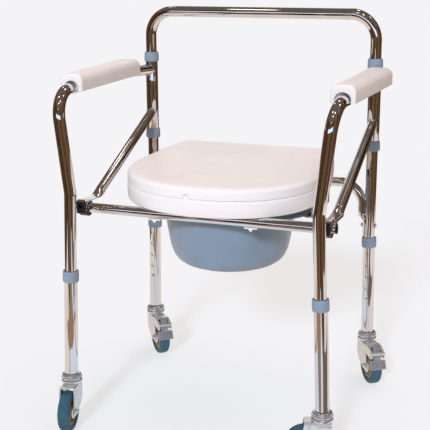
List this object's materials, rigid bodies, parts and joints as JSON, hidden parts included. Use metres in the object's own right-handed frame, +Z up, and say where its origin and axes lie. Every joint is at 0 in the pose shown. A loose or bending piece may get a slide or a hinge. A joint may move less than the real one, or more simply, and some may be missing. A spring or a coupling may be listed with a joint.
{
  "type": "wheeled commode chair",
  "caption": "Wheeled commode chair with a chromed tube frame, padded arms, a hinged seat lid, a slide-out bucket, height-adjustable legs and swivel castors with rear brakes.",
  "frame": {"origin": "on the floor, under the middle of the chair's outline", "axes": "+Z up; the chair faces -Y; the right side, seen by someone who stands in front of it, is +X"},
  "size_m": [0.5766, 0.4833, 0.7629],
  "materials": {
    "bucket_plastic": "grey-blue moulded plastic, slightly glossy",
    "chrome": "bright chrome plating",
    "collar_plastic": "grey-blue moulded plastic",
    "core_plastic": "tan moulded plastic",
    "liner_plastic": "black moulded plastic",
    "pad_plastic": "off-white moulded plastic, satin",
    "pedal_steel": "grey plated steel",
    "seat_plastic": "off-white moulded plastic, satin",
    "tyre_rubber": "teal-blue rubber",
    "zinc": "zinc plated steel"
  },
  "bodies": {
    "frame": {"back_frame": "chrome", "rear_crossbar": "chrome", "front_crossbar": "chrome", "seat_ring": "seat_plastic", "lid_hinge_pin": "zinc", "crossbar_bolt_left": "zinc", "upper_collar_left": "collar_plastic", "lower_collar_left": "collar_plastic", "sleeve_left": "chrome", "side_tube_left": "chrome", "cradle_left": "liner_plastic", "brace_left": "chrome", "arm_pad_left": "pad_plastic", "bucket_rail_left": "zinc", "crossbar_bolt_right": "zinc", "upper_collar_right": "collar_plastic", "lower_collar_right": "collar_plastic", "sleeve_right": "chrome", "side_tube_right": "chrome", "cradle_right": "liner_plastic", "brace_right": "chrome", "arm_pad_right": "pad_plastic", "bucket_rail_right": "zinc"},
    "lid": {"lid": "seat_plastic"},
    "bucket": {"bucket": "bucket_plastic"},
    "leg_front_left": {"lower_leg_front_left": "chrome", "leg_collar_front_left": "collar_plastic", "castor_stem_front_left": "zinc"},
    "button_front_left": {"snap_button_front_left": "zinc"},
    "castor_front_left": {"castor_fork_front_left": "zinc", "castor_axle_front_left": "zinc"},
    "wheel_front_left": {"wheel_core_front_left": "core_plastic", "tyre_front_left": "tyre_rubber"},
    "leg_front_right": {"lower_leg_front_right": "chrome", "leg_collar_front_right": "collar_plastic", "castor_stem_front_right": "zinc"},
    "button_front_right": {"snap_button_front_right": "zinc"},
    "castor_front_right": {"castor_fork_front_right": "zinc", "castor_axle_front_right": "zinc"},
    "wheel_front_right": {"wheel_core_front_right": "core_plastic", "tyre_front_right": "tyre_rubber"},
    "leg_rear_left": {"lower_leg_rear_left": "chrome", "leg_collar_rear_left": "collar_plastic", "castor_stem_rear_left": "zinc"},
    "button_rear_left": {"snap_button_rear_left": "zinc"},
    "castor_rear_left": {"castor_fork_rear_left": "zinc", "castor_axle_rear_left": "zinc"},
    "wheel_rear_left": {"wheel_core_rear_left": "core_plastic", "tyre_rear_left": "tyre_rubber"},
    "pedal_rear_left": {"brake_pedal_rear_left": "pedal_steel"},
    "leg_rear_right": {"lower_leg_rear_right": "chrome", "leg_collar_rear_right": "collar_plastic", "castor_stem_rear_right": "zinc"},
    "button_rear_right": {"snap_button_rear_right": "zinc"},
    "castor_rear_right": {"castor_fork_rear_right": "zinc", "castor_axle_rear_right": "zinc"},
    "wheel_rear_right": {"wheel_core_rear_right": "core_plastic", "tyre_rear_right": "tyre_rubber"},
    "pedal_rear_right": {"brake_pedal_rear_right": "pedal_steel"}
  },
  "joints": [
    {"name": "lid_hinge", "type": "hinge", "parent": "frame", "child": "lid", "pos_m": [-0.004, 0.22159, 0.47265], "axis": [-1, 0, 0], "range_deg": [0, 85]},
    {"name": "bucket_slide", "type": "slide", "parent": "frame", "child": "bucket", "axis": [0, 1, 0], "range_m": [0, 0.35]},
    {"name": "leg_slide_front_left", "type": "slide", "parent": "frame", "child": "leg_front_left", "axis": [-0.0405, 0, -0.9992], "range_m": [0, 0.1]},
    {"name": "button_press_front_left", "type": "slide", "parent": "leg_front_left", "child": "button_front_left", "axis": [0, -1, 0], "range_m": [0, 0.0035], "stiffness_N_per_m": 900, "springref_m": -0.0012},
    {"name": "swivel_front_left", "type": "hinge", "parent": "leg_front_left", "child": "castor_front_left", "pos_m": [-0.24695, -0.1745, 0], "axis": [0, 0, 1], "continuous": true},
    {"name": "wheel_spin_front_left", "type": "hinge", "parent": "castor_front_left", "child": "wheel_front_left", "pos_m": [-0.24192, -0.20306, 0.0375], "axis": [0.9848, 0.1736, 0], "continuous": true},
    {"name": "leg_slide_front_right", "type": "slide", "parent": "frame", "child": "leg_front_right", "axis": [0.0405, 0, -0.9992], "range_m": [0, 0.1]},
    {"name": "button_press_front_right", "type": "slide", "parent": "leg_front_right", "child": "button_front_right", "axis": [0, -1, 0], "range_m": [0, 0.0035], "stiffness_N_per_m": 900, "springref_m": -0.0012},
    {"name": "swivel_front_right", "type": "hinge", "parent": "leg_front_right", "child": "castor_front_right", "pos_m": [0.23895, -0.1745, 0], "axis": [0, 0, 1], "continuous": true},
    {"name": "wheel_spin_front_right", "type": "hinge", "parent": "castor_front_right", "child": "wheel_front_right", "pos_m": [0.21122, -0.18298, 0.0375], "axis": [0.2924, -0.9563, 0], "continuous": true},
    {"name": "leg_slide_rear_left", "type": "slide", "parent": "frame", "child": "leg_rear_left", "axis": [-0.0157, 0, -0.9999], "range_m": [0, 0.1]},
    {"name": "button_press_rear_left", "type": "slide", "parent": "leg_rear_left", "child": "button_rear_left", "axis": [0, 1, 0], "range_m": [0, 0.0035], "stiffness_N_per_m": 900, "springref_m": -0.0012},
    {"name": "swivel_rear_left", "type": "hinge", "parent": "leg_rear_left", "child": "castor_rear_left", "pos_m": [-0.24458, 0.2205, 0], "axis": [0, 0, 1], "continuous": true},
    {"name": "wheel_spin_rear_left", "type": "hinge", "parent": "castor_rear_left", "child": "wheel_rear_left", "pos_m": [-0.22517, 0.19895, 0.0375], "axis": [0.7431, 0.6691, 0], "continuous": true},
    {"name": "brake_rear_left", "type": "hinge", "parent": "castor_rear_left", "child": "pedal_rear_left", "pos_m": [-0.20558, 0.17719, 0.06912], "axis": [-0.7431, -0.6691, 0], "range_deg": [0, 14]},
    {"name": "leg_slide_rear_right", "type": "slide", "parent": "frame", "child": "leg_rear_right", "axis": [0.0157, 0, -0.9999], "range_m": [0, 0.1]},
    {"name": "button_press_rear_right", "type": "slide", "parent": "leg_rear_right", "child": "button_rear_right", "axis": [0, 1, 0], "range_m": [0, 0.0035], "stiffness_N_per_m": 900, "springref_m": -0.0012},
    {"name": "swivel_rear_right", "type": "hinge", "parent": "leg_rear_right", "child": "castor_rear_right", "pos_m": [0.23658, 0.2205, 0], "axis": [0, 0, 1], "continuous": true},
    {"name": "wheel_spin_rear_right", "type": "hinge", "parent": "castor_rear_right", "child": "wheel_rear_right", "pos_m": [0.2522, 0.19607, 0.0375], "axis": [0.8425, 0.5388, 0], "continuous": true},
    {"name": "brake_rear_right", "type": "hinge", "parent": "castor_rear_right", "child": "pedal_rear_right", "pos_m": [0.26798, 0.1714, 0.06912], "axis": [-0.8425, -0.5388, 0], "range_deg": [0, 14]}
  ]
}
